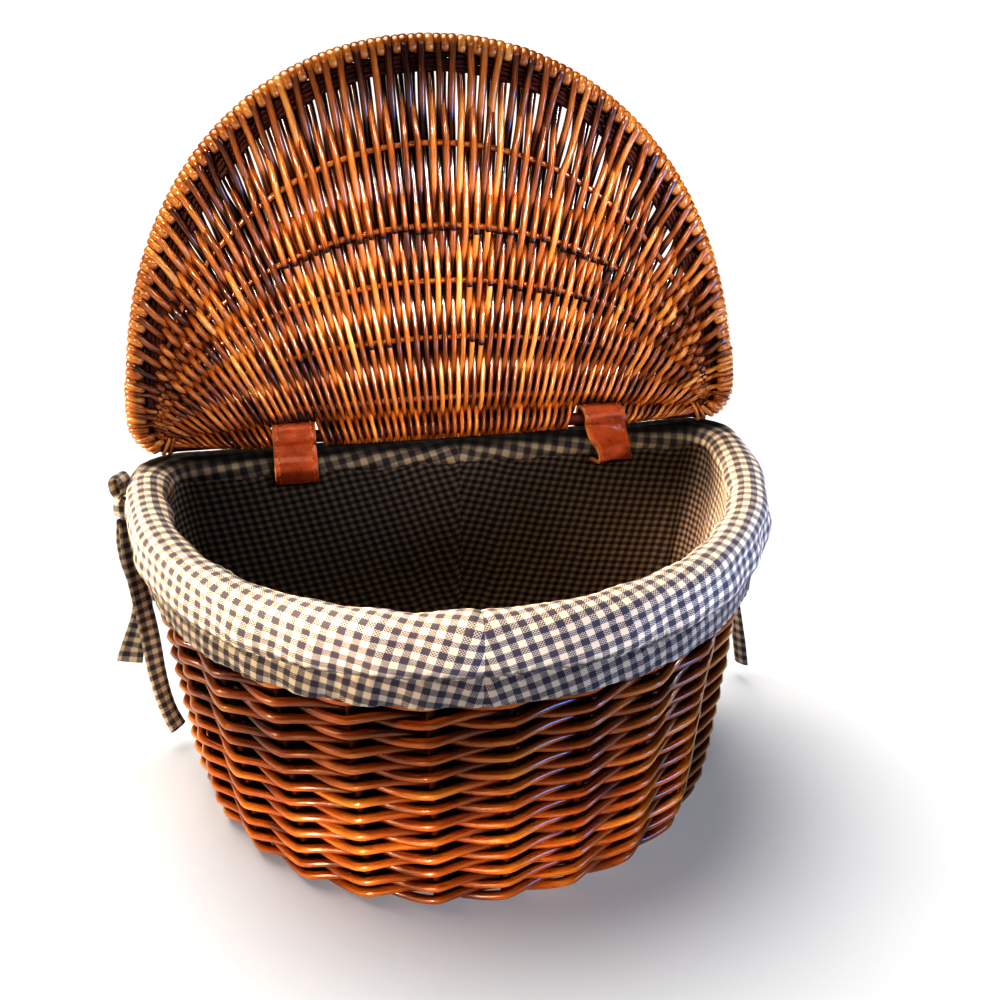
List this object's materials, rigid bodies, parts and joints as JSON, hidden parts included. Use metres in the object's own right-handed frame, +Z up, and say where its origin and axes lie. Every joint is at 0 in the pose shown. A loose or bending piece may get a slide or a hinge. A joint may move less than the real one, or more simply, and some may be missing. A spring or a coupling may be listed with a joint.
{
  "type": "picnic basket",
  "caption": "D-shaped woven willow picnic basket with a gathered gingham lining rolled over the rim and a domed-front woven lid standing open on leather hinge loops.",
  "frame": {"origin": "middle of the flat base, on the floor that the basket stands on", "axes": "+X to the basket's right as seen from its bowed front, +Y to its straight hinged back, +Z up"},
  "size_m": [0.3871, 0.2567, 0.3946],
  "materials": {
    "willow": "stained and varnished willow rods, satin gloss",
    "willow_dark": "darker stained willow rods, satin gloss",
    "gingham": "plain-weave cotton in cream and charcoal checks",
    "leather": "smooth reddish-tan leather with stitched edges"
  },
  "bodies": {
    "basket": {"base": "willow", "wall": "willow", "rim_border": "willow_dark", "strap_left": "leather", "strap_right": "leather", "lining": "gingham", "tie_left_knot": "gingham", "tie_right_knot": "gingham", "tie_left_loop": "gingham", "tie_left_tail_long": "gingham", "tie_left_tail_short": "gingham", "tie_right_tail_long": "gingham", "tie_right_tail_short": "gingham"},
    "lid": {"lid_splice_rod": "willow", "lid_weave_1": "willow", "lid_weave_2": "willow", "lid_weave_3": "willow", "lid_weave_4": "willow", "lid_weave_5": "willow", "lid_weave_foot_left": "willow", "lid_weave_foot_middle": "willow", "lid_weave_foot_right": "willow", "lid_weave_corner_left": "willow", "lid_weave_corner_right": "willow", "lid_bow": "willow_dark", "lid_hinge_rod": "willow_dark", "lid_rib_1": "willow_dark", "lid_rib_2": "willow_dark", "lid_rib_3": "willow_dark", "lid_rib_4": "willow_dark", "lid_rib_5": "willow_dark"}
  },
  "joints": [
    {"name": "lid_hinge", "type": "hinge", "parent": "basket", "child": "lid", "pos_m": [0, 0.0975, 0.1864], "axis": [1, 0, 0], "range_deg": [0, 103.1]}
  ]
}
